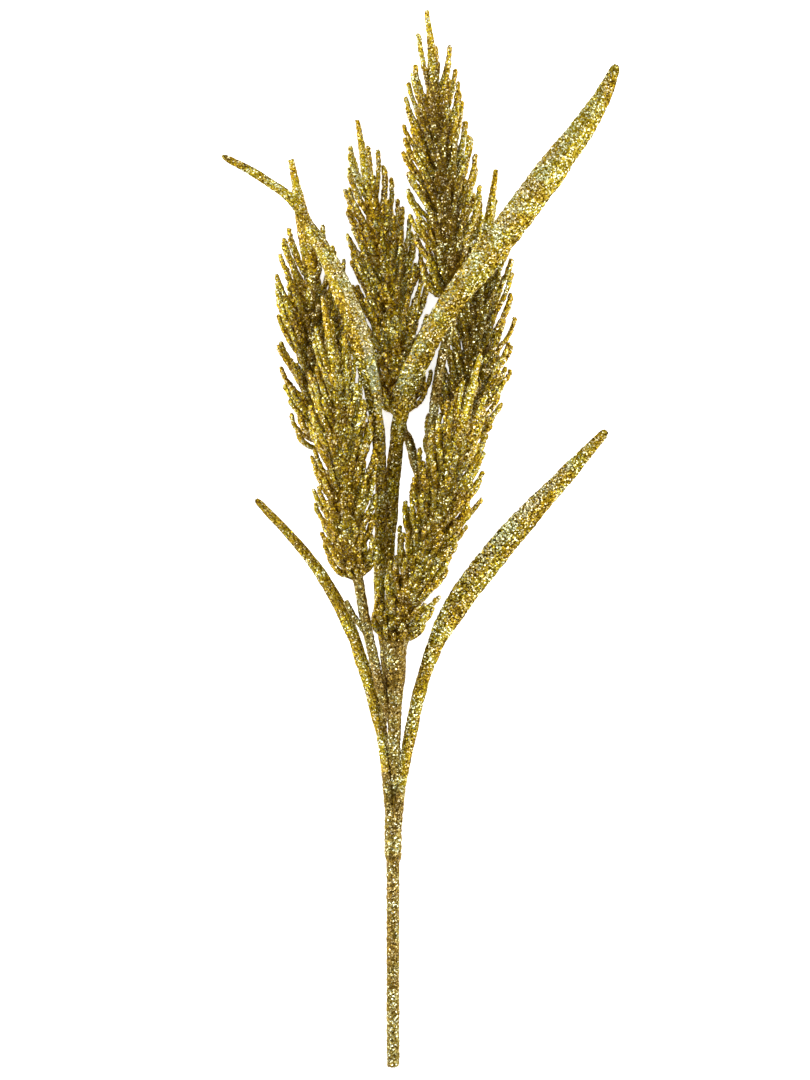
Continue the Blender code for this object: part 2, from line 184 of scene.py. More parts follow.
class Rods:
    """Everything that an awn has to stay clear of, as a set of round-ended rods."""

    def __init__(self) -> None:
        """Start with no rods."""
        self.starts = np.zeros((0, 3))
        self.ends = np.zeros((0, 3))
        self.radii = np.zeros(0)

    def add(self, points: np.ndarray, radii: np.ndarray) -> None:
        """Add a chain of rods through the points, each as thick as its thicker end."""
        self.starts = np.vstack((self.starts, points[:-1]))
        self.ends = np.vstack((self.ends, points[1:]))
        self.radii = np.concatenate((self.radii, np.maximum(radii[:-1], radii[1:])))

    def gap(self, probes: np.ndarray) -> float:
        """Distance from the nearest of the probes to the nearest rod's surface."""
        along = self.ends - self.starts
        reach = np.einsum("pri,ri->pr", probes[:, None] - self.starts, along)
        share = np.clip(reach / np.einsum("ri,ri->r", along, along), 0.0, 1.0)
        nearest = self.starts + along * share[..., None]
        return float((np.linalg.norm(probes[:, None] - nearest, axis=-1) - self.radii).min())


# The silver flakes strewn among the gold ones, greyed by the gold lacquer over them.
SILVER_TONES = ((0.0, "#807E58"), (0.25, "#B0AF8C"), (0.55, "#E4E3D0"), (0.8, "#A2A284"))


@dataclass(frozen=True)
class GlitterFinish:
    """Aluminised polyester glitter under gold lacquer, glued over a moulded polyethylene sprig.

    To the eye it is a crust of flat sparks: each flake mirrors another part of the room, so bright
    ones stand beside dark ones, with brown glue in the gaps between them. The flakes are cells 0.5 mm
    across, the finest that still show as single sparks in a picture of the whole spray.

    Attributes:
        tones: share of the gold flakes at which each colour starts, and the colour.
        patch_size, patch_depth: size in millimetres and strength of lighter and darker patches.
        gap_share, painted_shade_gap_share: width of the gaps in the open, and what full painted shade
            between the awns adds to it, as wider dark glue.
        painted_shade_drop: how much darker the flakes are painted in full shade between the awns.
        spark_share: share of the flakes that the painted shade leaves as bright and as large.
        silver_spot: noise at which silver flakes set in, and at which they are most frequent.
        lacquer_blend: noise at which the warm lacquer ends, and at which the cool one starts.
    """

    name: str
    slot: str
    tones: Tones
    silver_tones: Tones = SILVER_TONES
    glue: str = "#3A2600"
    flake_size: float = 0.5
    patch_size: float = 9.0
    patch_depth: float = 0.26
    gap_share: float = 0.10
    painted_shade_gap_share: float = 0.46
    painted_shade_drop: float = 0.22
    spark_share: float = 0.15
    warm_lacquer: str = "#FFF4DA"
    cool_lacquer: str = "#F5FBE0"
    lacquer_blend: tuple[float, float] = (0.42, 0.58)
    lacquer_patch_size: float = 9.0
    silver_patch_size: float = 5.0
    silver_spot: tuple[float, float] = (0.56, 0.7)
    silver_patch_share: float = 0.12
    tilt: float = 0.6
    roughness: tuple[float, float] = (0.25, 0.5)
    coat: float = 0.05
    coat_roughness: float = 0.12
    grazing_tint: str = "#E9CC6A"

    def ramp(self, tree: Tree, tones: Tones, pick: Socket, blend: str = "CONSTANT") -> Socket:
        """Pick one of several colours.

        Args:
            tree: the material's node tree.
            tones: share at which each colour starts, and the colour.
            pick: number from 0 to 1 that picks the colour.
            blend: how the ramp goes from one colour to the next.

        Returns:
            The socket with the colour.
        """
        node = add_node(tree, "ValToRGB", {"Fac": pick})
        stops = node.color_ramp
        stops.interpolation = blend
        while len(stops.elements) < len(tones):
            stops.elements.new(1.0)
        for stop, (start, colour) in zip(stops.elements, tones):
            stop.position = start
            stop.color = linear(colour)
        return node.outputs["Color"]

    def patches(self, tree: Tree, place: Socket, size: float) -> Socket:
        """Soft noise with patches of a size in millimetres."""
        return add_node(tree, "TexNoise", {"Vector": place, "Scale": 1 / (size * MM)}).outputs["Fac"]

    def painted_shade(self, tree: Tree, draw: Socket) -> Socket:
        """Painted shade by how deep each flake lies between the awns, but none on the few sparks."""
        depth = add_node(tree, "Attribute", {}, attribute_name=PAINTED_SHADE).outputs["Fac"]
        is_plain = add_node(tree, "Math", {0: draw, 1: 1.0 - self.spark_share}, operation="LESS_THAN")
        return add_node(tree, "Math", {0: depth, 1: is_plain.outputs[0]}, operation="MULTIPLY").outputs[0]

    def brightness(self, tree: Tree, place: Socket, draw: Socket, painted_shade: Socket) -> Socket:
        """Number from 0 to 1 for each flake, drawn by chance, shifted by patch and darkened by painted
        shade.
        """
        noise = self.patches(tree, place, self.patch_size)
        lift = add_node(tree, "Math", {0: noise, 1: 2 * self.patch_depth, 2: -self.patch_depth},
                        operation="MULTIPLY_ADD")
        # Painted shade: flakes deep between the awns are darkened.
        drop = add_node(tree, "Math", {0: painted_shade, 1: -self.painted_shade_drop, 2: lift.outputs[0]},
                        operation="MULTIPLY_ADD")
        pick = add_node(tree, "Math", {0: draw, 1: drop.outputs[0]}, operation="ADD", use_clamp=True)
        return pick.outputs[0]

    def colour(self, tree: Tree, place: Socket, draw: Socket, pick: Socket) -> Socket:
        """Colour of each flake.

        Args:
            tree: the material's node tree.
            place: where the point is.
            draw: number from 0 to 1 that makes the flake silver or gold.
            pick: number from 0 to 1 that picks its tone.

        Returns:
            The socket with the colour under the tinted lacquer.
        """
        share = add_node(tree, "Attribute", {}, attribute_name=SILVER_SHARE).outputs["Fac"]
        noise = self.patches(tree, place, self.silver_patch_size)
        low, high = self.silver_spot
        spot = add_node(tree, "MapRange", {"Value": noise, "From Min": low, "From Max": high,
                                           "To Max": self.silver_patch_share})
        silvered = add_node(tree, "Math", {0: share, 1: spot.outputs[0]}, operation="ADD")
        is_silver = add_node(tree, "Math", {0: draw, 1: silvered.outputs[0]}, operation="LESS_THAN")
        gold, silver = self.ramp(tree, self.tones, pick), self.ramp(tree, self.silver_tones, pick)
        flake = add_node(tree, "Mix", {"Factor": is_silver.outputs[0], 6: gold, 7: silver},
                         data_type="RGBA")
        tints = tuple(zip(self.lacquer_blend, (self.warm_lacquer, self.cool_lacquer)))
        lacquer = self.ramp(tree, tints, self.patches(tree, place, self.lacquer_patch_size), "LINEAR")
        tinted = add_node(tree, "Mix", {"Factor": 1.0, 6: flake.outputs[2], 7: lacquer},
                          data_type="RGBA", blend_type="MULTIPLY")
        return tinted.outputs[2]

    def lean(self, tree: Tree, flakes: Socket) -> Socket:
        """Normal of each flake, leant by its own random colour."""
        centred = add_node(tree, "VectorMath", {0: flakes, 1: (0.5, 0.5, 0.5)}, operation="SUBTRACT")
        around = add_node(tree, "NewGeometry", {}).outputs["Normal"]
        askew = add_node(tree, "VectorMath", {0: centred.outputs[0], 1: (self.tilt,) * 3, 2: around},
                         operation="MULTIPLY_ADD")
        return add_node(tree, "VectorMath", {0: askew.outputs[0]}, operation="NORMALIZE").outputs[0]

    def material(self) -> bpy.types.Material:
        """Make the material, or give it again if it is there already."""
        made = bpy.data.materials.get(self.name)
        if made is not None:
            return made
        made = bpy.data.materials.new(self.name)
        made.use_nodes = True
        tree = made.node_tree
        place = add_node(tree, "TexCoord", {}).outputs["Object"]
        cells = {"Vector": place, "Scale": 1 / (self.flake_size * MM)}
        flakes = add_node(tree, "TexVoronoi", cells).outputs["Color"]
        edges = add_node(tree, "TexVoronoi", cells, feature="DISTANCE_TO_EDGE").outputs["Distance"]
        draws = add_node(tree, "SeparateColor", {"Color": flakes}).outputs
        painted_shade = self.painted_shade(tree, draws["Red"])
        pick = self.brightness(tree, place, draws["Red"], painted_shade)
        # Painted shade also widens the dark glue gaps deep between the awns.
        gap = add_node(tree, "Math", {0: painted_shade, 1: self.painted_shade_gap_share, 2: self.gap_share},
                       operation="MULTIPLY_ADD")
        on_flake = add_node(tree, "MapRange", {"Value": edges, "From Min": 0.0, "From Max": gap.outputs[0]},
                            interpolation_type="SMOOTHSTEP").outputs[0]
        gold = self.colour(tree, place, draws["Green"], pick)
        base = add_node(tree, "Mix", {"Factor": on_flake, 6: linear(self.glue), 7: gold}, data_type="RGBA")
        low, high = self.roughness
        rough = add_node(tree, "MapRange", {"Value": draws["Blue"], "To Min": low, "To Max": high})
        facing = self.lean(tree, flakes)
        inputs = tree.nodes["Principled BSDF"].inputs
        tree.links.new(base.outputs[2], inputs["Base Color"])
        tree.links.new(on_flake, inputs["Metallic"])
        tree.links.new(rough.outputs[0], inputs["Roughness"])
        tree.links.new(facing, inputs["Normal"])
        tree.links.new(facing, inputs["Coat Normal"])
        inputs["Specular Tint"].default_value = linear(self.grazing_tint)
        inputs["Coat Weight"].default_value = self.coat
        inputs["Coat Roughness"].default_value = self.coat_roughness
        return made

    def dress(self, piece: bpy.types.Object) -> None:
        """Put the finish on a whole piece."""
        piece.data.materials.append(self.material())


@dataclass(frozen=True)
class LightTableFinish:
    """Opal acrylic sheet lit from below: an even white ground, with no edge and no hard shadow."""

    name: str = "opal_acrylic_light_table"
    colour: str = "#F4F4F4"
    roughness: float = 0.9
    light: str = "#FFFFFF"
    glow: float = 0.75

    def material(self) -> bpy.types.Material:
        """Make the material."""
        made = bpy.data.materials.new(self.name)
        made.use_nodes = True
        inputs = made.node_tree.nodes["Principled BSDF"].inputs
        inputs["Base Color"].default_value = linear(self.colour)
        inputs["Roughness"].default_value = self.roughness
        inputs["Emission Color"].default_value = linear(self.light)
        inputs["Emission Strength"].default_value = self.glow
        return made


# Bright yellow gold on the bristles, its tones lighter than the leaves' as painted light against
# the shade among the awns: the ears sparkle, with dark glue between the awns.
EAR_GLITTER = GlitterFinish(
    "gold_glitter_on_bristle", "gold_glitter_ears",
    ((0.0, "#583F00"), (0.1, "#8E7400"), (0.28, "#AA900C"), (0.5, "#BCA42E"), (0.72, "#D6C36C"),
     (0.83, "#F4ECC8"), (0.92, "#FFFCEA")))
# The same glitter in a deeper gold on the leaves: painted shade, as their broad faces catch more light.
LEAF_GLITTER = GlitterFinish(
    "gold_glitter_on_leaf", "gold_glitter_leaves",
    ((0.0, "#463200"), (0.1, "#6E5A00"), (0.3, "#8A7408"), (0.54, "#A08C28"), (0.74, "#B8A85E"),
     (0.86, "#E2DBBA"), (0.95, "#FFFCEA")))
# Paler and greyer gold on the stem, where thinner glitter lets the brown plastic through.
STEM_GLITTER = GlitterFinish(
    "gold_glitter_on_stem", "gold_glitter_stem",
    ((0.0, "#3E2E04"), (0.1, "#584614"), (0.3, "#705D22"), (0.54, "#84723A"), (0.72, "#9A8B5C"),
     (0.84, "#BCB28C"), (0.94, "#F4F2E6")))


class Crust:
    """A mesh of closed lofts whose facets are the size of glitter flakes and stand a little askew."""

    def __init__(self, draw: np.random.Generator, bump: float) -> None:
        """Start empty, with seeded draws and how far a flake's corner stands in or out."""
        self.draw = draw
        self.bump = bump
        self.points: list[np.ndarray] = []
        self.faces: list[np.ndarray] = []
        self.silver: list[np.ndarray] = []
        self.painted_shade: list[np.ndarray] = []
        self.count = 0

    def add_loft(self, rings: np.ndarray, silver: np.ndarray | float = 0.0,
                 painted_shade: np.ndarray | float = 0.0) -> None:
        """Add one closed loft.

        Args:
            rings: points as (ring, place round it, xyz), counted from the side towards the top.
            silver: share of silver flakes, for all points or for each.
            painted_shade: how deep each ring lies between its neighbours, from 0 to 1, for painted shade
                there.
        """
        rows, sides, _ = rings.shape
        start = np.arange(rows - 1)[:, None] * sides
        column = np.arange(sides)[None, :]
        near, beside = start + column, start + (column + 1) % sides
        far, far_beside = near + sides, beside + sides
        even = (np.arange(rows - 1) % 2 == 0)[:, None]
        first = np.stack((near, far, np.where(even, beside, far_beside)), axis=-1)
        second = np.stack((np.where(even, far, near), far_beside, beside), axis=-1)
        fan = np.arange(1, sides - 1)
        back = np.stack((np.zeros_like(fan), fan, fan + 1), axis=-1)
        front = np.stack((np.zeros_like(fan), fan + 1, fan), axis=-1) + (rows - 1) * sides
        faces = np.vstack((first.reshape(-1, 3), second.reshape(-1, 3), back, front))
        self.points.append(rings.reshape(-1, 3))
        self.faces.append(faces + self.count)
        self.silver.append(np.broadcast_to(silver, (rows, sides)).reshape(-1))
        self.painted_shade.append(np.repeat(np.broadcast_to(painted_shade, rows), sides))
        self.count += rows * sides

    def add_rod(self, centres: np.ndarray, side: np.ndarray, top: np.ndarray, radii: np.ndarray,
                sides: int, painted_shade: np.ndarray | float = 0.0, silver: float = 0.0) -> None:
        """Add a round rod with a rough surface.

        Args:
            centres: the middle of each ring.
            side: unit direction from which each ring is counted.
            top: unit direction towards which it is counted.
            radii: radius of each ring.
            sides: points in a ring.
            painted_shade: how deep each ring lies between its neighbours, from 0 to 1, for painted shade
                there.
            silver: share of silver flakes.
        """
        rows = len(centres)
        turns = (np.arange(sides)[None, :] + 0.5 * (np.arange(rows) % 2)[:, None]) * 2 * math.pi / sides
        bump = np.minimum(self.bump, radii[:, None] / 2)
        swell = radii[:, None] + bump * self.draw.uniform(-1, 1, turns.shape)
        across = np.cos(turns)[..., None] * side[:, None] + np.sin(turns)[..., None] * top[:, None]
        steps = np.gradient(centres, axis=0)[:, None]
        slide = self.draw.uniform(-FLAKE_SLIDE, FLAKE_SLIDE, turns.shape)[..., None]
        self.add_loft(centres[:, None] + across * swell[..., None] + steps * slide, silver, painted_shade)

    def make(self, node: str, finish: GlitterFinish, placing: Placing) -> bpy.types.Object:
        """Make the scene's object from all lofts added so far, in place of a plain solid.

        Args:
            node: the solid that it replaces.
            finish: what its surface wears.
            placing: carries the points to the world.

        Returns:
            The dressed object, riding on the part's only body.
        """
        name = "glittered_" + node
        mesh = bpy.data.meshes.new(name)
        points = placing.world(np.vstack(self.points))
        mesh.from_pydata(points.tolist(), [], np.vstack(self.faces).tolist())
        for label, values in ((SILVER_SHARE, self.silver), (PAINTED_SHADE, self.painted_shade)):
            layer = mesh.attributes.new(label, "FLOAT", "POINT")
            layer.data.foreach_set("value", np.concatenate(values))
        mesh.update()
        piece = bpy.data.objects.new(name, mesh)
        bpy.context.scene.collection.objects.link(piece)
        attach(piece, BODY)
        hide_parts(node)
        finish.dress(piece)
        return piece


# Guide points of each branch up to the last two, by what it carries.
STALKS: dict[str, Guides] = {
    "ear_top": ((1, 135, 15), (3, 151, 12.5), (8, 168, 10), (11, 186, 12.5),
                (12, 204, 19), (13.5, 220, 25), (14.5, 236, 28.5), (17.5, 256, 31.5)),
    "ear_middle": ((0.8, 135, 14.5), (2.4, 152, 8.5), (5, 168, 5), (8.5, 190, 4.5),
                   (11.7, 207, 7.5), (8.1, 218, 10), (5.6, 227, 11.2)),
    "ear_left_back": ((-1.5, 131, 14.5), (-5, 140, 12.5), (-8.5, 155, 10.5), (-11, 168, 9),
                      (-14.5, 190, 9), (-18.5, 208, 11.5)),
    "ear_left_front": ((-1, 127, 15), (-2.9, 132, 16), (-5, 139, 18), (-6.8, 148, 20),
                       (-8.5, 155, 22), (-10.1, 162, 24)),
    "ear_right_back": ((1, 135, 14.5), (3, 151, 8), (8, 167, 4.5), (13, 188, 5),
                       (15, 203, 9.5)),
}
NIBS: dict[str, Guides] = {
    "leaf_top_right": ((-0.5, 133, 14.5), (-1, 142, 12.2)),
    "leaf_top_left": ((-1, 133, 15.6), (-2.6, 142, 13.6)),
    "leaf_low_right": ((0.8, 84, 10.6), (1.9, 93, 13)),
    "leaf_low_left": ((-0.8, 86, 11), (-1.9, 97, 14)),
}
# The short stub on the left, which carries nothing.
STUB: Guides = ((-8.6, 155.5, 22.2), (-11.8, 160, 23), (-14.6, 164.3, 24), (-16.9, 168.8, 24.8))
# Skins in the crotches of the lower leaves, as rods with their radii.
WEBS: tuple[tuple[Guides, Profile], ...] = (
    (((1.2, 88, 12.4), (1.8, 98, 13.2), (2.4, 106, 13.6), (3.2, 114.5, 13.4)),
     ((0, 1.4), (18, 1.3), (27, 0.5))),
    (((-0.9, 88, 10.5), (-2.4, 102, 11.6), (-3.3, 116, 11.8), (-4, 135, 10.6)),
     ((0, 1.5), (38, 1.5), (43, 1.3), (48, 0.7))),
)


@dataclass
class Stem:
    """The branching stem: trunk, stalks to the ears, nibs that carry the leaves and a side stub.

    Attributes:
        stalk_run, nib_run: how far before its end each runs in line with what it carries.
        rod_stride: every so many rings a point is noted for the awns to stay clear of.
    """

    crust: Crust
    rods: Rods
    head: tuple[float, float, float] = (0.8, 154.8, 18.0)
    profile: Profile = ((0, 1.9), (0.7, 2.35), (74, 2.35), (78, 3.1), (90, 3.2), (98, 2.5),
                        (118, 2.25), (130, 2.6), (137, 3.2), (143, 3.9), (155.6, 4.2))
    ring_step: float = 0.85
    trunk_sides: int = 16
    stalk_sides: int = 12
    stalk_radius: float = 1.75
    stub_radius: float = 1.0
    stalk_run: float = 3.0
    nib_run: float = 2.0
    root_gap: float = 0.1
    fewest_rings: int = 3
    rod_stride: int = 4

    def branch(self, guides: Guides, radii: Profile, sides: int) -> None:
        """Add one rough rod along its guides, with its radii by the distance along it."""
        route = Route(guides)
        rings = max(self.fewest_rings, round(route.length / self.ring_step))
        places = np.linspace(0.0, route.length, rings)
        centres, side, top = route.frames(places)
        thick = profile_at(radii, places)
        self.crust.add_rod(centres, side, top, thick, sides)
        self.rods.add(centres[::self.rod_stride], thick[::self.rod_stride])

    def build(self, ears: dict[str, Route], leaves: dict[str, Route], leaf_widths: dict[str, float],
              placing: Placing) -> bpy.types.Object:
        """Build and dress the stem.

        Args:
            ears: the line of each ear's core.
            leaves: the line of each leaf's midrib.
            leaf_widths: how wide each leaf is where its nib meets it.
            placing: carries the points to the world.

        Returns:
            The stem's object.
        """
        foot = (0.0, 0.0, FOOT_HEIGHT)
        middle = (0.0, self.head[1] / 2, (FOOT_HEIGHT + self.head[2]) / 2)
        self.branch((foot, middle, self.head), self.profile, self.trunk_sides)
        for name, guides in STALKS.items():
            line = (*guides, *self.approach(ears[name], self.stalk_run))
            self.branch(line, ((0.0, self.stalk_radius),), self.stalk_sides)
        for name, guides in NIBS.items():
            line = (*guides, *self.approach(leaves[name], self.nib_run))
            self.branch(line, ((0.0, leaf_widths[name] / 2),), self.stalk_sides)
        self.branch(STUB, ((0.0, self.stub_radius),), self.stalk_sides)
        for guides, radii in WEBS:
            self.branch(guides, radii, self.stalk_sides)
        return self.crust.make("stem", STEM_GLITTER, placing)

    def approach(self, route: Route, run: float) -> Guides:
        """Last two guide points of a branch, in line with what it carries."""
        start = route.at(np.array([0.0]))[0]
        ahead = route.tangents(np.array([0.0]))[0]
        return tuple(start - (self.root_gap + run) * ahead), tuple(start - self.root_gap * ahead)


class Half(Enum):
    """Half of a leaf, as seen from above by someone who looks along it towards its tip."""

    RIGHT = 1.0
    LEFT = -1.0


@dataclass
class Leaf:
    """A strap leaf folded along its midrib, running down into a thick petiole.

    Attributes:
        widths: full width against the share of the length.
        roll: how far the blade is turned about its midrib, in degrees.
        silver, painted_reflection_half: share of silver flakes along the leaf, on one half of it only, as a
        painted reflection on the half that catches the light.
        petiole_width, flat_width: width up to which it is round, and from which it is a flat blade.
        tip_start: share of the length past which it is thin, however narrow.
        clear_lines, clear_share: lines along it that awns keep clear of, as shares of its half width,
            and their radius as a share of its width.
    """

    name: str
    guides: Guides
    widths: Profile
    roll: float
    silver: Profile
    painted_reflection_half: Half
    fold: float = math.radians(17)
    thickness: float = 0.9
    edge_thickness: float = 0.65
    petiole_width: float = 3.2
    petiole_thickness: float = 2.4
    flat_width: float = 6.2
    tip_start: float = 0.8
    tip_rounding: tuple[float, float] = (0.88, 0.55)
    ring_step: float = 0.85
    columns: int = 11
    rib_softness: float = 0.06
    outermost: float = 0.98
    edge_wobble: float = 0.28
    wobble_length: float = 7.0
    clear_lines: tuple[float, ...] = (-0.6, 0.0, 0.6)
    clear_share: float = 0.2
    rod_stride: int = 8

    def route(self) -> Route:
        """The line of the midrib."""
        return Route(self.guides)

    def section(self, width: np.ndarray, flatness: np.ndarray, stoutness: np.ndarray,
                across: np.ndarray) -> tuple[np.ndarray, np.ndarray]:
        """Smooth outline of the leaf at each ring.

        Args:
            width: full width of each ring.
            flatness: from 0 where it is a round petiole to 1 where it is a flat blade.
            stoutness: from 0 where it is thin to 1 where it is as thick as the petiole.
            across: place of each point of a ring, from -1 at one edge to 1 at the other.

        Returns:
            How far each point is to the side of the midrib, and how far over it.
        """
        middle = (self.thickness + (self.petiole_thickness - self.thickness) * stoutness)[:, None]
        face = np.repeat((1.0, -1.0), self.columns)
        flat = self.edge_thickness / 2 + (middle - self.edge_thickness) / 2 * (1 - np.abs(across))
        round_off = middle / 2 * np.sqrt(1 - across ** 2)
        depth = flat + (round_off - flat) * stoutness[:, None]
        drop = np.sqrt(across ** 2 + self.rib_softness ** 2) - self.rib_softness
        out = across * (width / 2 * np.cos(self.fold * flatness))[:, None]
        return out, face * depth - drop * (width / 2 * np.sin(self.fold * flatness))[:, None]

    def build(self, crust: Crust, rods: Rods, placing: Placing) -> bpy.types.Object:
        """Build and dress the leaf.

        Args:
            crust: the empty mesh that the leaf fills.
            rods: gets the leaf as something for the awns to stay clear of.
            placing: carries the points to the world.

        Returns:
            The leaf's object.
        """
        route = self.route()
        places = np.linspace(0.0, 1.0, round(route.length / self.ring_step))
        reached = places * route.length
        width = profile_at(self.widths, places)
        width[-2:] *= self.tip_rounding
        flatness = np.interp(width, (self.petiole_width, self.flat_width), (0.0, 1.0))
        stoutness = np.where(places > self.tip_start, 0.0, 1.0 - flatness)
        centres, side, top = route.frames(reached, math.radians(self.roll) * flatness)
        half = np.linspace(1.0, -1.0, self.columns) * self.outermost
        across = np.concatenate((half, half[::-1]))
        out, lift = self.section(width, flatness, stoutness, across)
        knots = np.arange(0.0, route.length + self.wobble_length, self.wobble_length)
        right, left = [np.interp(reached, knots, crust.draw.uniform(-1, 1, len(knots))) for _ in range(2)]
        stray = np.where(across > 0, right[:, None], left[:, None])
        out = out + self.edge_wobble * stray * across ** 3
        step = route.length / len(places)
        flake = np.minimum(width / self.columns, step)[:, None]
        out = out + crust.draw.uniform(-FLAKE_SLIDE, FLAKE_SLIDE, out.shape) * flake
        lift = lift + crust.draw.uniform(-1, 1, out.shape) * crust.bump
        slide = crust.draw.uniform(-FLAKE_SLIDE, FLAKE_SLIDE, out.shape) * step
        ahead = route.tangents(reached)
        rings = (centres[:, None] + out[..., None] * side[:, None] + lift[..., None] * top[:, None]
                 + slide[..., None] * ahead[:, None])
        # Silver flakes on one half only: a painted reflection of the light that half catches.
        is_painted_reflection_half = across * self.painted_reflection_half.value > self.rib_softness
        crust.add_loft(rings, profile_at(self.silver, places)[:, None] * is_painted_reflection_half)
        self.keep_clear(rods, centres, side, width)
        return crust.make(self.name, LEAF_GLITTER, placing)

    def keep_clear(self, rods: Rods, centres: np.ndarray, side: np.ndarray, width: np.ndarray) -> None:
        """Add the leaf to the rods as a few lines along it."""
        radii = width * self.clear_share + self.edge_thickness
        for share in self.clear_lines:
            line = centres + side * (share * width / 2)[:, None]
            rods.add(line[::self.rod_stride], radii[::self.rod_stride])


@dataclass(frozen=True)
class AwnKind:
    """How the awns of one kind differ from the ear's full-sized ones.

    Attributes:
        lag: how far their whorls stand past the full-sized ones', in whorls.
        painted_shade_length_share: share of their length that lies between their neighbours and
        gets painted shade.
        highest: share of the whorls' height above which they don't grow.
    """

    reach_share: float
    rise_share: float
    count_share: float
    lag: float
    painted_shade_length_share: float
    highest: float


OUTER_AWNS = AwnKind(1.0, 1.0, 1.0, 0.0, 0.5, 1.0)
INNER_AWNS = AwnKind(0.6, 0.85, 0.8, 0.5, 0.8, 0.75)


@dataclass(frozen=True)
class Awn:
    """One awn, which leaves the core sideways and turns to run along it.

    Attributes:
        root: how far along the core it starts.
        angle: where round the core it stands.
        reach: how far its tip stands off the core's line.
        rise: how far along the core its tip is past its root.
        curl: how soon it turns.
    """

    root: float
    angle: float
    reach: float
    rise: float
    curl: float

    STEP = 0.75
    FEWEST_POINTS = 4

    def line(self, route: Route) -> tuple[np.ndarray, np.ndarray]:
        """Points along it on a core, and the direction square to the plane that it bends in."""
        _, side, top = route.frames(np.array([self.root]))
        out = math.cos(self.angle) * side[0] + math.sin(self.angle) * top[0]
        length = math.hypot(self.reach, self.rise)
        share = np.linspace(0.0, 1.0, max(self.FEWEST_POINTS, round(length / self.STEP)))
        off = self.reach * (1.0 - (1.0 - share) ** self.curl)
        line = route.at(self.root + self.rise * share) + out * off[:, None]
        return line, unit(np.cross(out, route.tangents(np.array([self.root]))[0]))


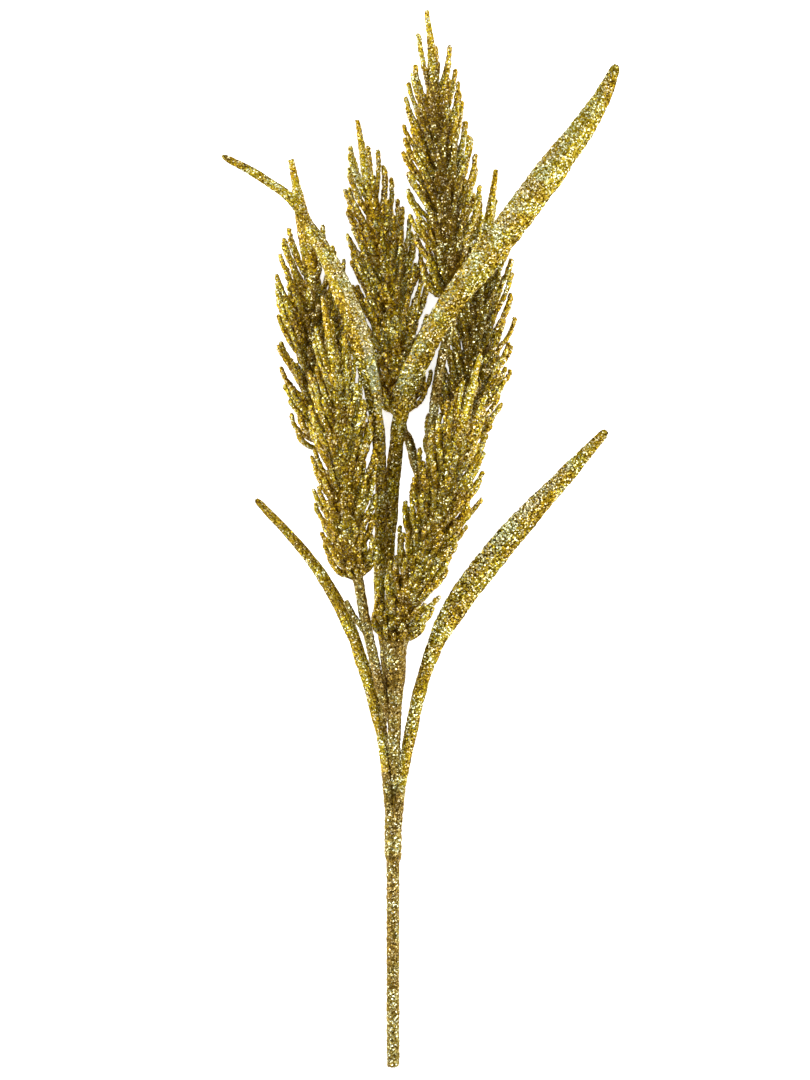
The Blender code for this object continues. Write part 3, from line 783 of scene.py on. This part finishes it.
@dataclass
class Ear:
    """One bearded ear: a slim core with whorls of awns and a spike at its tip.

    Attributes:
        fullness: how wide the ear is, as a share of the usual reach of its awns.
        crown: share of the core's length that the awns' tips end at; the spike is past it.
        cup, cup_span: how slim the ear is at its foot, and the places between which that ends.
        core, spike: radius of the core by place, and of the spike by distance from its tip.
        core_beat: how far the core swells at each whorl.
        facing_share, facing_reach: length and reach of the awns that face up, as shares.
        facing_sines: sine of an awn's angle from which it faces up a little, and wholly.
        foot_crowding: above one, the whorls stand closer at the foot.
        painted_shade_strength: how strongly painted shade darkens this ear between its awns.
        upward_painted_shade: least painted shade along awns that face up, for the shade round their roots.
        curl, cup_curl: how soon an awn turns along the core, and in the lowest whorls.
        reach, rise: how far tips stand off the core by place, and past their roots by root.
        clearance, floor: gap that awns keep to all else, and the least height of their lines.
        reach_trials, swing_trials: what an awn tries when it would touch something.
    """

    name: str
    guides: Guides
    fullness: float
    crown: float = 0.9
    cup: float = 1.0
    cup_span: tuple[float, float] = (0.12, 0.45)
    whorls: int = 14
    awns_in_whorl: Profile = ((0, 10), (0.72, 10), (0.85, 8), (0.93, 6), (1, 5))
    first_whorl: float = 0.015
    core: Profile = ((0, 2.2), (0.04, 3.2), (0.12, 4.8), (0.5, 5), (0.72, 3.6), (0.88, 1.8), (1, 0.5))
    spike: Profile = ((0, 0.8), (8, 1.15), (14, 1.55), (20, 1.95), (28, 2.2))
    core_sides: int = 16
    core_beat: float = 0.35
    awn_sides: int = 6
    probe_stride: int = 3
    rod_stride: int = 6
    awn_radius: float = 0.92
    tip_rounding: tuple[float, float] = (0.95, 0.6)
    waver: float = 0.14
    facing_share: float = 0.5
    facing_reach: float = 0.75
    facing_sines: tuple[float, float] = (0.55, 0.95)
    foot_crowding: float = 1.2
    spike_stoutness: float = 1.0
    silver: Profile = ((0, 0), (0.6, 0), (1, 0.06))
    painted_shade_strength: float = 0.85
    upward_painted_shade: float = 0.8
    core_fade: float = 0.1
    curl: float = 1.6
    cup_curl: float = 2.8
    cup_whorls: int = 2
    reach: Profile = ((0.03, 6.5), (0.07, 9.5), (0.12, 12), (0.22, 14), (0.36, 15), (0.58, 15),
                      (0.7, 13.2), (0.86, 10.6), (0.94, 8.4), (1, 6.2))
    rise: Profile = ((0, 10), (0.06, 14), (0.15, 19), (0.4, 22), (1, 23))
    angle_jitter: float = math.radians(8)
    length_jitter: float = 0.14
    reach_jitter: float = 0.08
    clearance: float = 0.15
    floor: float = 0.45
    reach_trials: tuple[float, ...] = (1.0, 0.92, 0.84, 0.76, 0.68, 0.6, 0.52, 0.44)
    swing_trials: tuple[float, ...] = (0.0, 9.0, -9.0, 18.0, -18.0)

    def route(self) -> Route:
        """The line of the core."""
        return Route(self.guides)

    def place_awn(self, awn: Awn, route: Route, rods: Rods) -> tuple[np.ndarray, np.ndarray] | None:
        """Lay one awn as it wants to stand, or bent in or aside just enough to be clear.

        Args:
            awn: the awn as it wants to stand.
            route: the line of the core.
            rods: what it stays clear of.

        Returns:
            What Awn.line gives, or nothing where there is no room.
        """
        for share in self.reach_trials:
            for swing in self.swing_trials:
                turned = awn.angle + math.radians(swing)
                line, square = replace(awn, angle=turned, reach=awn.reach * share).line(route)
                probes = line[len(line) // 2::self.probe_stride]
                if probes[:, 2].min() < self.floor:
                    continue
                if rods.gap(probes) > self.awn_radius + self.clearance:
                    return line, square
        return None

    def add_awn(self, crust: Crust, line: np.ndarray, square: np.ndarray, kind: AwnKind,
                upward: float, silver: float) -> None:
        """Add one awn to the crust.

        Args:
            crust: the mesh that gets it.
            line: points along the awn.
            square: direction square to the plane that it bends in.
            kind: one of the long outer awns or of the short inner ones.
            upward: how far it faces up, from 0 to 1.
            silver: share of silver flakes.
        """
        share = np.linspace(0.0, 1.0, len(line))
        radii = np.full(len(line), self.awn_radius)
        radii[-2:] *= self.tip_rounding
        line = line + crust.draw.uniform(-self.waver, self.waver, line.shape)
        ahead = unit(np.gradient(line, axis=0))
        side = unit(square - ahead * (ahead @ square)[:, None])
        # Painted shade from the root outwards, and along the whole awn where it faces up.
        painted_shade = np.clip(1.0 - share / kind.painted_shade_length_share, self.upward_painted_shade * upward, 1.0) * self.painted_shade_strength
        crust.add_rod(line, side, np.cross(side, ahead), radii, self.awn_sides, painted_shade, silver)

    def grow_whorl(self, crust: Crust, route: Route, rods: Rods, number: int, start: float, last: float,
                   kind: AwnKind) -> list[np.ndarray]:
        """Grow one whorl of awns of one kind.

        Args:
            crust: the mesh that gets them.
            route: the line of the core.
            rods: what the awns stay clear of.
            number: which whorl this is, from the foot.
            start: place of the whorl along the core, as a share.
            last: place of the highest whorl.
            kind: the long outer awns or the short inner ones.

        Returns:
            The line of each awn that found room.
        """
        grown = []
        if start > kind.highest * last:
            return grown
        curl = self.cup_curl if number < self.cup_whorls else self.curl
        count = round(float(profile_at(self.awns_in_whorl, start / last)) * kind.count_share)
        for turn in (np.arange(count) + 0.5 * ((self.whorls - 1 - number) % 2)) / count:
            angle = 2 * math.pi * turn + crust.draw.uniform(-self.angle_jitter, self.angle_jitter)
            upward = float(np.interp(math.sin(angle), self.facing_sines, (0.0, 1.0)))
            facing = 1.0 + (self.facing_share - 1.0) * upward
            length = facing * (1.0 + crust.draw.uniform(-self.length_jitter, self.length_jitter))
            rise = float(profile_at(self.rise, start)) * kind.rise_share * length
            spread = self.fullness * (1.0 + crust.draw.uniform(-self.reach_jitter, self.reach_jitter))
            place = (start + rise / route.length) / self.crown
            slimness = float(np.interp(place, self.cup_span, (self.cup, 1.0)))
            reach = float(profile_at(self.reach, place)) * spread * kind.reach_share * slimness
            reach *= 1.0 + (self.facing_reach - 1.0) * upward
            placed = self.place_awn(Awn(start * route.length, angle, reach, rise, curl), route, rods)
            if placed is not None:
                self.add_awn(crust, *placed, kind, upward, float(profile_at(self.silver, place)))
                grown.append(placed[0])
        return grown

    def build(self, crust: Crust, rods: Rods, placing: Placing) -> bpy.types.Object:
        """Build and dress the ear.

        Args:
            crust: the empty mesh that the ear fills.
            rods: what the awns stay clear of; gets this ear's awns at the end.
            placing: carries the points to the world.

        Returns:
            The ear's object.
        """
        route = self.route()
        places = np.linspace(0.0, route.length, round(route.length / Awn.STEP))
        centres, side, top = route.frames(places)
        share = places / route.length
        last = self.crown - float(profile_at(self.rise, self.crown)) / route.length
        beat = np.cos(2 * math.pi * share * self.whorls / (last - self.first_whorl))
        radii = np.maximum(profile_at(self.core, share / self.crown),
                           profile_at(self.spike, route.length - places) * self.spike_stoutness)
        radii = radii + self.core_beat * beat * (share < last)
        # Painted shade on the core, fading out just below its last whorl.
        painted_shade = np.clip((last - share) / self.core_fade, 0.0, 1.0) * self.painted_shade_strength
        crust.add_rod(centres, side, top, radii, self.core_sides, painted_shade)
        taken = []
        steps = np.linspace(0.0, 1.0, self.whorls) ** self.foot_crowding
        starts = self.first_whorl + (last - self.first_whorl) * steps
        for kind in (OUTER_AWNS, INNER_AWNS):
            for number, start in enumerate(starts + kind.lag * (last - self.first_whorl) / self.whorls):
                taken += self.grow_whorl(crust, route, rods, number, start, last, kind)
        for line in taken:
            sparse = line[::self.rod_stride]
            rods.add(sparse, np.full(len(sparse), self.awn_radius))
        rods.add(centres[::self.rod_stride], radii[::self.rod_stride])
        LOG.info("%s: %d awns", self.name, len(taken))
        return crust.make(self.name, EAR_GLITTER, placing)


# The painted shade between the awns is weaker on the two front ears and left off ear_middle.
EARS = (
    Ear("ear_right_front",
        ((0.5, 155.4, 18.1), (1.2, 159, 18.8), (3.4, 165, 20.4), (6.1, 172, 22.5), (11.3, 187, 27),
         (14.6, 197, 30.5), (18, 207, 33.5), (21.4, 220, 36.3), (24.5, 232, 37.6), (31.3, 257, 38)), 0.84,
        first_whorl=-0.012,
        reach=((0, 6), (0.03, 8.8), (0.07, 10.8), (0.12, 11.8), (0.22, 12.7), (0.3, 12.2), (0.36, 11.6),
               (0.45, 12.4), (0.55, 14.9), (0.62, 15.4), (0.7, 14), (0.86, 10.6), (0.94, 8), (1, 5.5)),
        painted_shade_strength=0.3),
    Ear("ear_left_front",
        ((-12.9, 177.5, 28.5), (-15.6, 191, 32), (-16.9, 212, 35), (-18.8, 233, 36),
         (-21, 252, 36), (-25.2, 278, 35)), 0.75, cup=0.95, first_whorl=-0.003, painted_shade_strength=0.3),
    Ear("ear_top",
        ((21.2, 275.4, 33), (20.5, 293, 30), (19.5, 308, 26.5), (17.8, 322, 23), (15.7, 337, 19.5),
         (14.5, 353, 16), (14, 367, 13.7), (12.1, 382, 11.5)), 0.855),
    # ear_middle lies low under the other ears. It gets no painted shade and more silver flakes towards its
    # tip: partly pale flakes it has, partly painted light against the shade it lies in.
    Ear("ear_middle",
        ((3, 234.4, 11), (1.8, 249, 11), (0.7, 263, 11), (-0.3, 276, 11), (-4.3, 299, 11),
         (-7.6, 313, 10.8), (-12.9, 342.6, 9)), 0.86, 0.9,
        silver=((0, 0.03), (0.5, 0.08), (1, 0.18)), painted_shade_strength=0),
    Ear("ear_left_back",
        ((-22.7, 220.7, 12.3), (-23.8, 229, 12.3), (-27, 252, 12.3), (-28.2, 270, 12.3),
         (-29.3, 286, 12.3), (-31.6, 301, 12), (-36.9, 328.3, 10)), 0.89, 0.77, spike_stoutness=1.3,
        reach=((0.03, 6.5), (0.07, 9.5), (0.12, 11.5), (0.22, 12.8), (0.36, 13.9), (0.5, 14.6), (0.75, 14.8),
               (0.88, 12.6), (0.94, 10.8), (1, 8))),
    Ear("ear_right_back",
        ((16.9, 214.2, 12.6), (22, 227, 12.6), (25.9, 239, 12.6), (30, 262, 12.6), (31.5, 283, 12.4),
         (34, 302, 12), (37.2, 324.5, 10)), 0.88),
)

# Each leaf's silver flakes lie on one half, the one that catches the light, as a painted reflection.
LEAVES = (
    Leaf("leaf_top_right",
         ((-1.2, 151, 10.6), (-1.1, 167, 10.3), (-1.2, 184, 12.5), (-0.3, 209, 22), (1.3, 225, 28),
          (3.1, 237, 32.5), (5.9, 247.7, 37.5), (10.2, 256.7, 41), (16.7, 268.6, 44.5),
          (23.8, 279.4, 46.5), (33.9, 291.4, 47.5), (43.3, 304.4, 47.5), (52.5, 316.4, 46),
          (60.4, 327.4, 44), (67.9, 337.5, 41.5), (74.7, 348.8, 38.5), (79.9, 360.9, 35)),
         ((0, 3.2), (0.12, 3.6), (0.2, 4.7), (0.26, 5.3), (0.36, 5.4), (0.39, 7.1), (0.43, 8.9), (0.5, 9.2),
          (0.56, 9.4), (0.62, 10.8), (0.7, 11.9), (0.8, 11.8), (0.86, 10.6), (0.915, 8.6), (0.943, 6.8),
          (0.97, 5.2), (1, 3.4)), -12,
         ((0, 0), (0.36, 0), (0.42, 0.35), (0.5, 0.35), (0.8, 0.38), (0.9, 0.15), (1, 0.1)), Half.LEFT,
         petiole_width=5.3, petiole_thickness=3, flat_width=7.4),
    Leaf("leaf_top_left",
         ((-3.4, 151, 13.2), (-4.6, 166, 13.5), (-4.8, 184, 16), (-4.4, 203, 22), (-4.7, 223, 30),
          (-6.5, 238, 36.5), (-9, 250, 41), (-12.2, 263, 43.5), (-17.3, 277, 43.5), (-22.3, 289, 40.5),
          (-27.9, 299.4, 37), (-31.7, 305.8, 34.5), (-35.1, 311.9, 32), (-43.9, 318.5, 28.5),
          (-49.5, 322.3, 27), (-61.2, 328.8, 24)),
         ((0, 2.8), (0.05, 3.2), (0.12, 4.5), (0.36, 4.4), (0.42, 4.6), (0.5, 7.4), (0.58, 8.8),
          (0.66, 8.2), (0.74, 6.4), (0.81, 4.6), (0.87, 3.6), (0.94, 3.5), (0.98, 3), (1, 2.3)), 20,
         ((0, 0), (0.4, 0.2), (0.48, 0.7), (0.68, 0.6), (0.8, 0.1), (1, 0)), Half.RIGHT,
         petiole_width=4.4, petiole_thickness=2.8, flat_width=6.4),
    Leaf("leaf_low_right",
         ((2.9, 102, 14.5), (4.2, 110, 13), (6.4, 121, 11.5), (9.3, 135, 9.5), (13.6, 148.8, 8.5),
          (21, 163.6, 8), (30.9, 177.5, 8), (42.8, 192.5, 8), (55.6, 206.5, 7.5), (68.9, 221.1, 5.5),
          (77.4, 230.1, 4)),
         ((0, 3.7), (0.05, 4.5), (0.12, 4.7), (0.28, 4.6), (0.34, 6), (0.4, 8.7), (0.46, 9.6), (0.52, 9.9),
          (0.585, 10.4), (0.645, 10.2), (0.7, 9.5), (0.76, 8.4), (0.82, 7.5), (0.88, 5.7), (0.94, 4.6),
          (1, 3.2)), -10,
         ((0, 0), (0.5, 0.1), (0.65, 0.5), (0.85, 0.45), (1, 0.1)), Half.LEFT,
         petiole_width=4.4, petiole_thickness=2.8, flat_width=7.4),
    Leaf("leaf_low_left",
         ((-2.6, 107, 15.2), (-4.3, 119, 13), (-7.3, 133, 10.5), (-9, 140.4, 9.5),
          (-11.5, 147.6, 8.8), (-14, 155, 8.2), (-20.5, 169, 7.5), (-29.9, 184, 6.5), (-35.8, 191, 6),
          (-49.6, 205.5, 4)),
         ((0, 2.8), (0.11, 3.4), (0.24, 4.3), (0.3, 4.7), (0.55, 4.8), (0.66, 4.4), (0.74, 3.9),
          (0.82, 3.4), (0.92, 3), (1, 2.3)), 12,
         ((0, 0), (1, 0)), Half.RIGHT),
)


@dataclass(frozen=True)
class Softbox:
    """One soft light: its place and its two sides in metres, and its power in watts."""

    name: str
    place: tuple[float, float, float]
    size: tuple[float, float]
    watts: float

    def hang(self) -> None:
        """Hang it, turned to the spray."""
        light = bpy.data.lights.new(self.name, "AREA")
        light.shape = "RECTANGLE"
        light.size, light.size_y = self.size
        light.energy = self.watts
        box = bpy.data.objects.new(self.name, light)
        box.location = self.place
        box.rotation_euler = (-box.location).to_track_quat("-Z", "Y").to_euler()
        bpy.context.scene.collection.objects.link(box)


SOFTBOXES = (
    Softbox("softbox_left", (-1.5, 0.1, 0.9), (1.2, 1.2), 32.0),
    Softbox("softbox_right", (1.5, -0.1, 0.9), (1.2, 1.2), 27.0),
    Softbox("softbox_head", (-0.3, 1.3, 1.5), (0.7, 0.7), 5.0),
    Softbox("softbox_overhead", (0.0, 0.0, 3.3), (1.3, 1.3), 44.0),
)


@dataclass
class Studio:
    """Light table, soft light from both sides and a long lens straight above the spray.

    Attributes:
        foot_pixel: where the stem's cut end is in the photograph.
        pixel_size: millimetres of the spray in a pixel, at view_height over the surface.
        floor_half, clip_end: half the floor's side and the farthest that the camera sees, in metres.
    """

    placing: Placing
    photo_pixels: tuple[int, int] = (810, 1080)
    foot_pixel: tuple[int, int] = (393, 1070)
    pixel_size: float = 0.36
    camera_height: float = 2800.0
    sensor: float = 36.0
    floor_half: float = 4.0
    floor_drop: float = 0.1
    view_height: float = 20.0
    clip_end: float = 20.0
    room_light: float = 0.55

    def floor(self) -> None:
        """A wide light table just under the spray."""
        reach = self.floor_half
        corners = [(-reach, -reach), (reach, -reach), (reach, reach), (-reach, reach)]
        mesh = bpy.data.meshes.new("studio_floor")
        mesh.from_pydata([(x, y, -self.floor_drop * MM) for x, y in corners], [], [(0, 1, 2, 3)])
        plane = bpy.data.objects.new("studio_floor", mesh)
        bpy.context.scene.collection.objects.link(plane)
        mesh.materials.append(LightTableFinish().material())

    def room(self) -> None:
        """Even light from the room round the set."""
        world = bpy.data.worlds.new("studio_room")
        world.use_nodes = True
        backdrop = world.node_tree.nodes["Background"]
        backdrop.inputs["Color"].default_value = linear("#FFFFFF")
        backdrop.inputs["Strength"].default_value = self.room_light
        bpy.context.scene.world = world

    def camera(self) -> None:
        """The camera, framed as the photograph is."""
        lens_view = bpy.data.cameras.new("photo_camera")
        lens_view.sensor_fit = "VERTICAL"
        lens_view.sensor_height = self.sensor
        frame_height = self.photo_pixels[1] * self.pixel_size
        lens_view.lens = self.sensor * (self.camera_height - self.view_height) / frame_height
        lens_view.clip_end = self.clip_end
        eye = bpy.data.objects.new("photo_camera", lens_view)
        middle = ((self.photo_pixels[0] / 2 - self.foot_pixel[0]) * self.pixel_size,
                  (self.foot_pixel[1] - self.photo_pixels[1] / 2) * self.pixel_size)
        eye.location = self.placing.world(np.array((*middle, self.camera_height)))
        bpy.context.scene.collection.objects.link(eye)
        bpy.context.scene.camera = eye

    def build(self) -> None:
        """Set up floor, lights, room and camera."""
        self.floor()
        self.room()
        for softbox in SOFTBOXES:
            softbox.hang()
        self.camera()
        bpy.context.scene.view_settings.view_transform = "Standard"


def report(piece: bpy.types.Object) -> None:
    """Log one finished piece."""
    LOG.info("%s: %d faces", piece.name, len(piece.data.polygons))


def main() -> None:
    """Build the spray piece by piece, then the studio round it."""
    placing = Placing(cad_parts["stem"])
    rods = Rods()
    ear_routes = {ear.name: ear.route() for ear in EARS}
    leaf_routes = {leaf.name: leaf.route() for leaf in LEAVES}
    nib_widths = {leaf.name: leaf.widths[0][1] for leaf in LEAVES}
    stem = Stem(Crust(np.random.default_rng(STEM_SEED), STEM_BUMP), rods)
    report(stem.build(ear_routes, leaf_routes, nib_widths, placing))
    for number, leaf in enumerate(LEAVES):
        report(leaf.build(Crust(np.random.default_rng(LEAF_SEED + number), LEAF_BUMP), rods, placing))
    for number, ear in enumerate(EARS):
        report(ear.build(Crust(np.random.default_rng(EAR_SEED + number), EAR_BUMP), rods, placing))
    Studio(placing).build()


if __name__ == "__main__":
    main()
